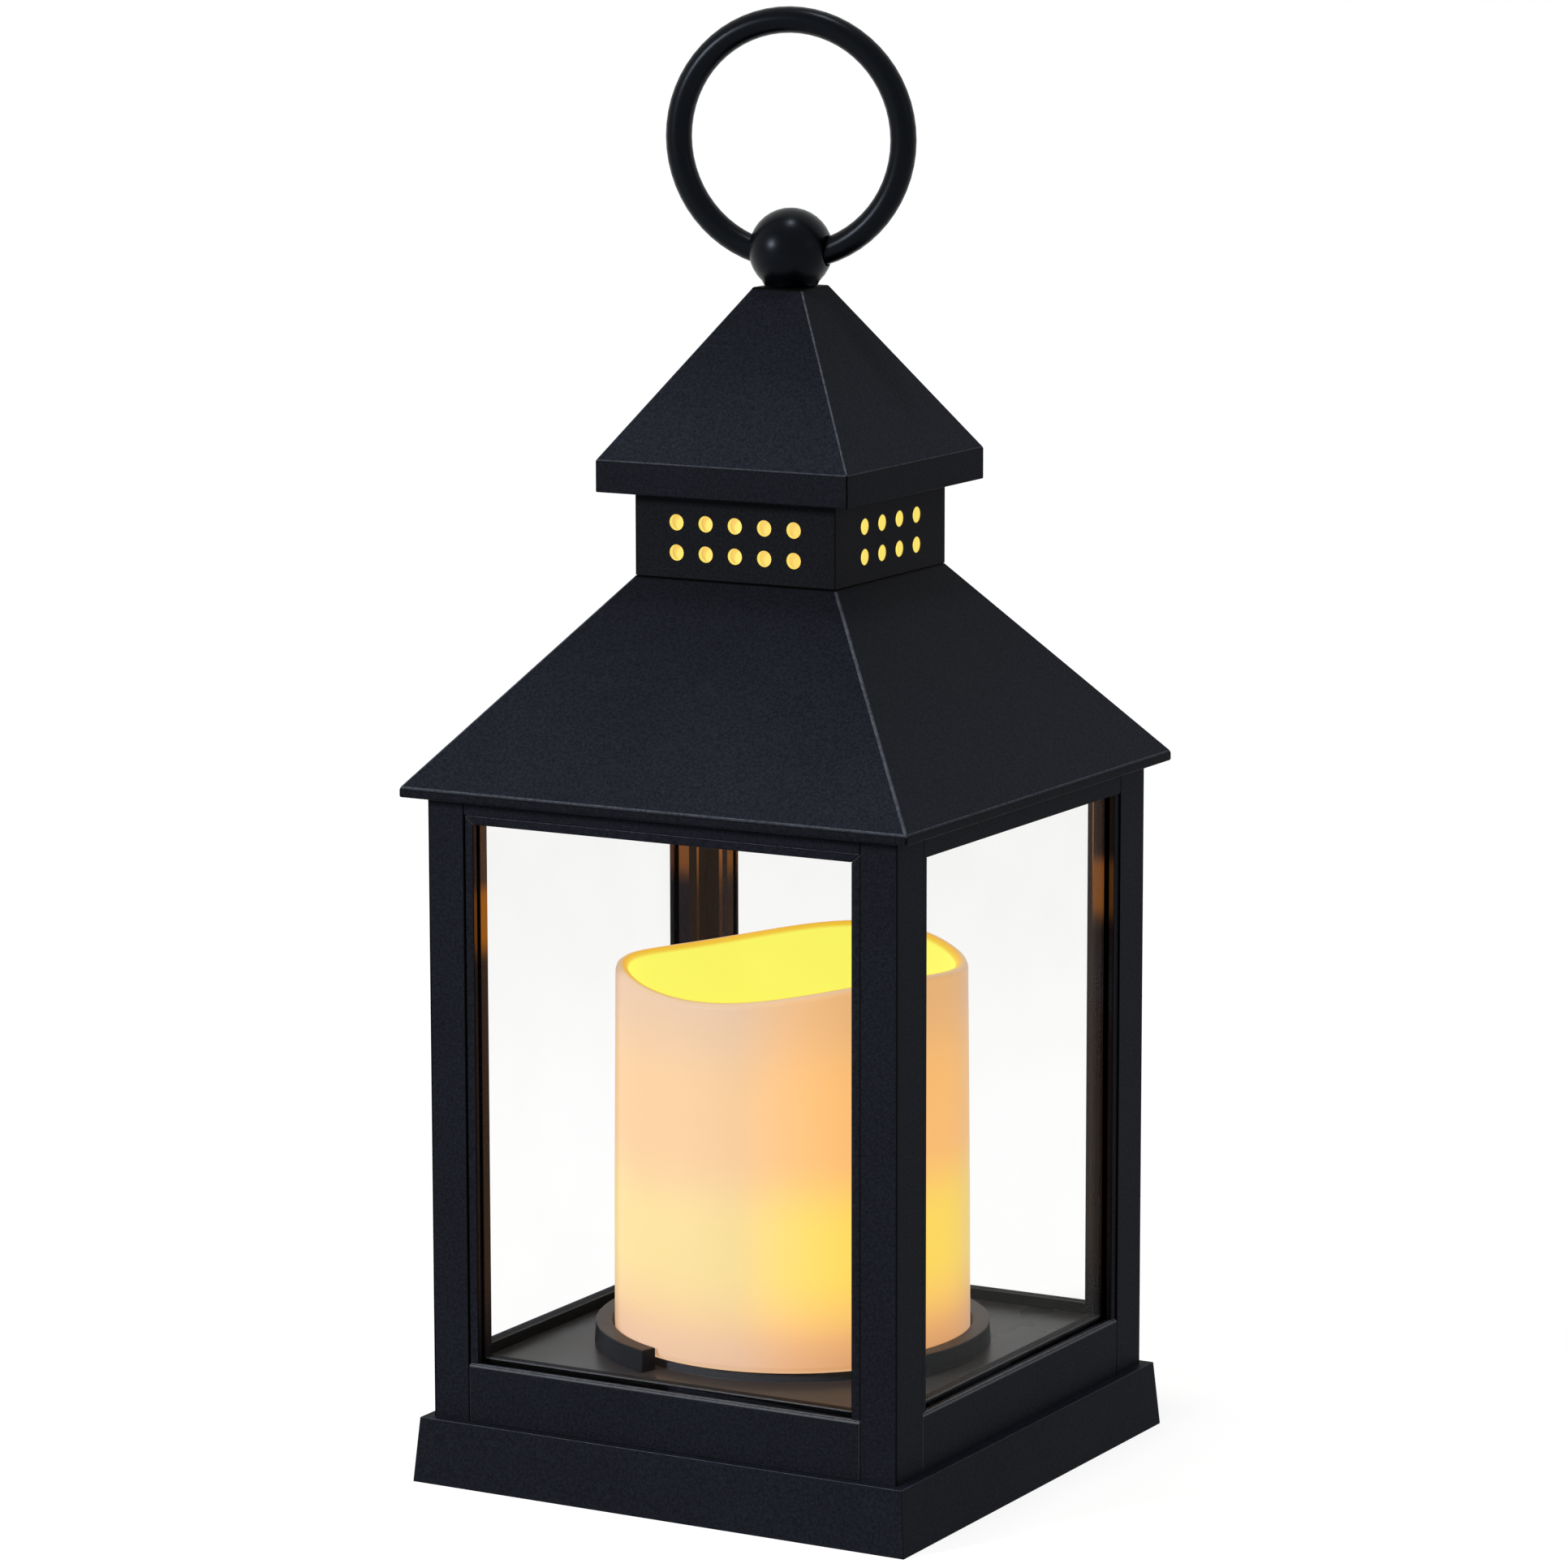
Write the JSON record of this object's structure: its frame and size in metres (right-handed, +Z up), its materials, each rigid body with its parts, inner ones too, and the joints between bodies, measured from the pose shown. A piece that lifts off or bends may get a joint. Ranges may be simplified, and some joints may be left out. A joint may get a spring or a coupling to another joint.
{
  "type": "led lantern",
  "caption": "Square glazed lantern with a flared plinth, hipped roofs, a pierced chimney, a wax-like LED candle and a ring handle on a ball.",
  "frame": {"origin": "middle of the underside, on the surface the plinth stands on", "axes": "+Z up, the front window faces -Y, +X is to the right seen from the front"},
  "size_m": [0.1116, 0.1116, 0.2881],
  "materials": {
    "black_plastic": "matt, fine grain",
    "satin_black_plastic": "satin",
    "dark_floor_plastic": "smooth satin",
    "clear_pane": "clear and polished",
    "candle_wax": "smooth, translucent, wax-like",
    "yellow_sleeve": "translucent diffuser",
    "lamp_plastic": "plain moulded",
    "circuit_board": "lacquered",
    "amber_led": "clear moulded",
    "spring_steel": "plated",
    "screw_steel": "plated",
    "battery_wrap": "plain sleeve, satin"
  },
  "bodies": {
    "lantern": {"base_plinth": "black_plastic", "base_cover": "black_plastic", "lower_roof": "black_plastic", "chimney_box": "black_plastic", "cap_roof": "black_plastic", "battery_box": "black_plastic", "post_front_left": "black_plastic", "post_front_right": "black_plastic", "post_back_right": "black_plastic", "post_back_left": "black_plastic", "bottom_rail_front": "black_plastic", "bottom_rail_back": "black_plastic", "bottom_rail_right": "black_plastic", "bottom_rail_left": "black_plastic", "top_rail_front": "black_plastic", "top_rail_back": "black_plastic", "top_rail_right": "black_plastic", "top_rail_left": "black_plastic", "bead_front_a": "black_plastic", "bead_front_b": "black_plastic", "bead_front_top": "black_plastic", "bead_back_a": "black_plastic", "bead_back_b": "black_plastic", "bead_back_top": "black_plastic", "bead_right_a": "black_plastic", "bead_right_b": "black_plastic", "bead_left_a": "black_plastic", "bead_left_b": "black_plastic", "floor_plate": "dark_floor_plastic", "candle_collar": "dark_floor_plastic", "pane_front": "clear_pane", "pane_back": "clear_pane", "pane_right": "clear_pane", "pane_left": "clear_pane", "base_screw_front_left": "screw_steel", "base_screw_front_right": "screw_steel", "base_screw_back_right": "screw_steel", "base_screw_back_left": "screw_steel", "contact_plus": "spring_steel", "contact_bridge_right": "spring_steel", "contact_bridge_left": "spring_steel", "contact_minus": "spring_steel", "ball_washer": "spring_steel", "battery_front": "battery_wrap", "battery_middle": "battery_wrap", "battery_back": "battery_wrap", "candle_shell": "candle_wax", "glow_sleeve": "yellow_sleeve", "lamp_pillar": "lamp_plastic", "switch_body": "lamp_plastic", "lamp_board": "circuit_board", "candle_led": "amber_led"},
    "ball": {"ring_ball": "satin_black_plastic", "ball_screw": "screw_steel"},
    "ring": {"carry_ring": "satin_black_plastic"},
    "battery_door": {"battery_door": "black_plastic"},
    "switch_knob": {"switch_knob": "lamp_plastic"}
  },
  "joints": [
    {"name": "ball_turn", "type": "hinge", "parent": "lantern", "child": "ball", "pos_m": [0, 0, 0.2411], "axis": [0, 0, 1], "continuous": true},
    {"name": "ring_swing", "type": "hinge", "parent": "ball", "child": "ring", "pos_m": [0, 0, 0.2411], "axis": [0.9803, 0.1977, 0], "range_deg": [-125, 125]},
    {"name": "door_tilt", "type": "hinge", "parent": "lantern", "child": "battery_door", "pos_m": [-0.0256, 0, 0.002], "axis": [0, 1, 0], "range_deg": [0, 20]},
    {"name": "switch_slide", "type": "slide", "parent": "lantern", "child": "switch_knob", "axis": [1, 0, 0], "range_m": [0, 0.004]}
  ]
}
